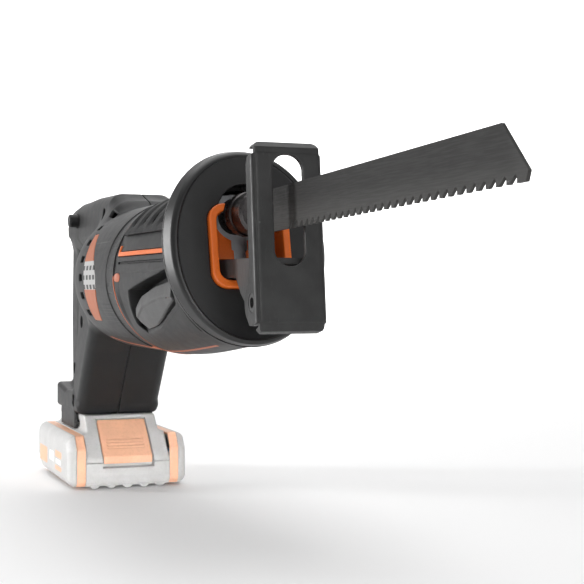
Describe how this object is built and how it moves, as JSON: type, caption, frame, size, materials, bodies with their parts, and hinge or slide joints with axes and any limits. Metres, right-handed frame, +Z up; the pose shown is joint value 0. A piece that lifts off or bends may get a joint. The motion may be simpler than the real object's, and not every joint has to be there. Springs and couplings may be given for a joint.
{
  "type": "cordless reciprocating saw",
  "caption": "Cordless reciprocating saw with D-handle, oval nose flange, slotted pivoting shoe, coarse blade and slide-on battery.",
  "frame": {"origin": "centre of the flat face under the battery", "axes": "+X towards the blade, +Y to the saw's left, +Z up"},
  "size_m": [0.6163, 0.0868, 0.1981],
  "materials": {
    "casing": "moulded charcoal, fine grain",
    "orange_trim": "satin",
    "soft_grip": "soft matt",
    "lever_plastic": "satin",
    "screw_steel": "blackened",
    "cast_alloy": "as cast",
    "bronze": "sintered",
    "rubber": "matt",
    "steel": "ground",
    "ferrite": "sintered",
    "shoe_steel": "satin dark grey",
    "clamp_steel": "blackened",
    "blade_steel": "dark coated",
    "fan_plastic": "moulded",
    "board": "lacquered",
    "pack_grey": "pale, fine grain",
    "pack_orange": "pale, fine grain",
    "cell_wrap": "shrink wrap"
  },
  "bodies": {
    "housing": {"housing_right": "casing", "housing_left": "casing", "gear_cover_right": "casing", "gear_cover_left": "casing", "side_stripes": "orange_trim", "top_overmoulds": "soft_grip", "nose_flange": "casing", "nose_bezel": "orange_trim", "housing_screws": "screw_steel", "label_bands": "orange_trim", "seam_ring": "orange_trim", "gear_case_lower": "cast_alloy", "gear_case_upper": "cast_alloy", "front_bush": "bronze", "rear_bush": "bronze", "plunger_seal": "rubber", "crank_bearings": "steel", "case_screws": "screw_steel", "motor_can": "steel", "motor_magnets": "ferrite", "motor_end_cap": "casing", "motor_bearings": "steel", "motor_brushes": "ferrite", "shoe_bracket": "shoe_steel", "shoe_pivot_pin": "shoe_steel", "lever_pin": "steel", "trigger_spring": "steel", "switch": "casing", "controller_board": "board", "terminal_block": "casing"},
    "plunger": {"plunger": "steel", "clamp_pin": "steel", "clamp_spring": "steel", "blade": "blade_steel"},
    "clamp_sleeve": {"clamp_sleeve": "clamp_steel"},
    "shoe": {"shoe": "shoe_steel"},
    "release_lever": {"release_lever": "lever_plastic"},
    "rotor": {"motor_shaft": "steel", "rotor_core": "steel", "rotor_windings": "bronze", "commutator": "bronze", "cooling_fan": "fan_plastic", "pinion": "steel"},
    "crank": {"crank_gear": "steel", "crank_roller": "steel"},
    "trigger": {"trigger": "casing"},
    "lock_off_button": {"lock_off_button": "casing"},
    "battery": {"battery_upper_case": "pack_grey", "battery_lower_case": "pack_grey", "battery_bands": "pack_orange", "battery_cap_right": "pack_grey", "battery_cap_left": "pack_grey", "battery_cells": "cell_wrap", "cell_holders": "fan_plastic", "cell_straps": "bronze", "battery_board": "board", "battery_contacts": "bronze", "latch_spring": "steel"},
    "battery_latch": {"battery_latch_button": "pack_orange"}
  },
  "joints": [
    {"name": "plunger_stroke", "type": "slide", "parent": "housing", "child": "plunger", "axis": [1, 0, 0], "range_m": [-0.014, 0.014]},
    {"name": "clamp_turn", "type": "hinge", "parent": "plunger", "child": "clamp_sleeve", "pos_m": [0.309, 0, 0.166], "axis": [1, 0, 0], "range_deg": [0, 55], "stiffness_Nm_per_rad": 0.05, "springref_deg": -11.46},
    {"name": "lever_swing", "type": "hinge", "parent": "housing", "child": "release_lever", "pos_m": [0.28, -0.034, 0.1275], "axis": [0, 1, 0], "range_deg": [0, 7], "stiffness_Nm_per_rad": 0.4, "springref_deg": -8.59},
    {"name": "shoe_pivot", "type": "hinge", "parent": "housing", "child": "shoe", "pos_m": [0.3537, 0, 0.124], "axis": [0, 1, 0], "range_deg": [-8, 22]},
    {"name": "rotor_spin", "type": "hinge", "parent": "housing", "child": "rotor", "pos_m": [0.15, 0, 0.1375], "axis": [1, 0, 0], "continuous": true},
    {"name": "crank_spin", "type": "hinge", "parent": "housing", "child": "crank", "pos_m": [0.222, 0, 0.145], "axis": [0, 0, 1], "continuous": true},
    {"name": "trigger_pull", "type": "slide", "parent": "housing", "child": "trigger", "axis": [-1, 0, 0], "range_m": [0, 0.007], "stiffness_N_per_m": 700, "springref_m": -0.002, "deforming": ["trigger_spring"]},
    {"name": "lock_off_push", "type": "slide", "parent": "housing", "child": "lock_off_button", "axis": [0, 1, 0], "range_m": [0, 0.0055], "stiffness_N_per_m": 500, "springref_m": -0.001},
    {"name": "battery_slide", "type": "slide", "parent": "housing", "child": "battery", "axis": [1, 0, 0], "range_m": [0, 0.12]},
    {"name": "latch_press", "type": "slide", "parent": "battery", "child": "battery_latch", "axis": [-0.7071, 0, -0.7071], "range_m": [0, 0.0025], "stiffness_N_per_m": 900, "springref_m": -0.001, "deforming": ["latch_spring"]}
  ],
  "couplings": [
    {"joint": "rotor_spin", "follows": "crank_spin", "ratio": 6},
    {"joint": "clamp_turn", "follows": "lever_swing", "ratio": 7.5}
  ]
}
